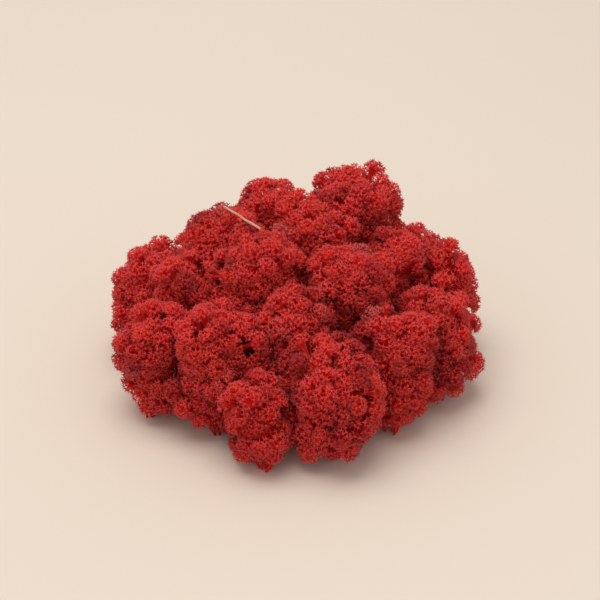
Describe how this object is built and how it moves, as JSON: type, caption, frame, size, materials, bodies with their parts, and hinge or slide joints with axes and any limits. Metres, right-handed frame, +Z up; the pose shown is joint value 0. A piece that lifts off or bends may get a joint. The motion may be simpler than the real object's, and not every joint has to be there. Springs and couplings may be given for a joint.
{
  "type": "reindeer moss clump",
  "caption": "Dense cushion of dyed, preserved reindeer lichen: rounded heads of short pointed branch tips on bare stems, with a dry grass stalk across the top.",
  "frame": {"origin": "on the ground, under the middle of the clump's bounding box", "axes": "+X along the clump's longest side, +Y towards the high ridge at its back, +Z up"},
  "size_m": [0.1216, 0.1138, 0.0607],
  "materials": {
    "dyed_moss": "matte",
    "dry_straw": "matte"
  },
  "bodies": {
    "root": {"head_summit": "dyed_moss", "head_ridge_right": "dyed_moss", "head_ridge_middle": "dyed_moss", "head_ridge_left": "dyed_moss", "head_crown_middle": "dyed_moss", "head_crown_left": "dyed_moss", "head_crown_right": "dyed_moss", "head_shoulder_right": "dyed_moss", "head_shoulder_left": "dyed_moss", "head_skirt_left": "dyed_moss", "head_skirt_left_front": "dyed_moss", "head_skirt_front": "dyed_moss", "head_skirt_front_right": "dyed_moss", "head_skirt_right_front": "dyed_moss", "head_skirt_right": "dyed_moss", "head_skirt_right_back": "dyed_moss", "head_skirt_back_right": "dyed_moss", "head_skirt_back": "dyed_moss", "head_skirt_back_middle": "dyed_moss", "head_skirt_back_left": "dyed_moss", "head_skirt_left_back": "dyed_moss", "dry_stalk": "dry_straw"}
  },
  "joints": []
}
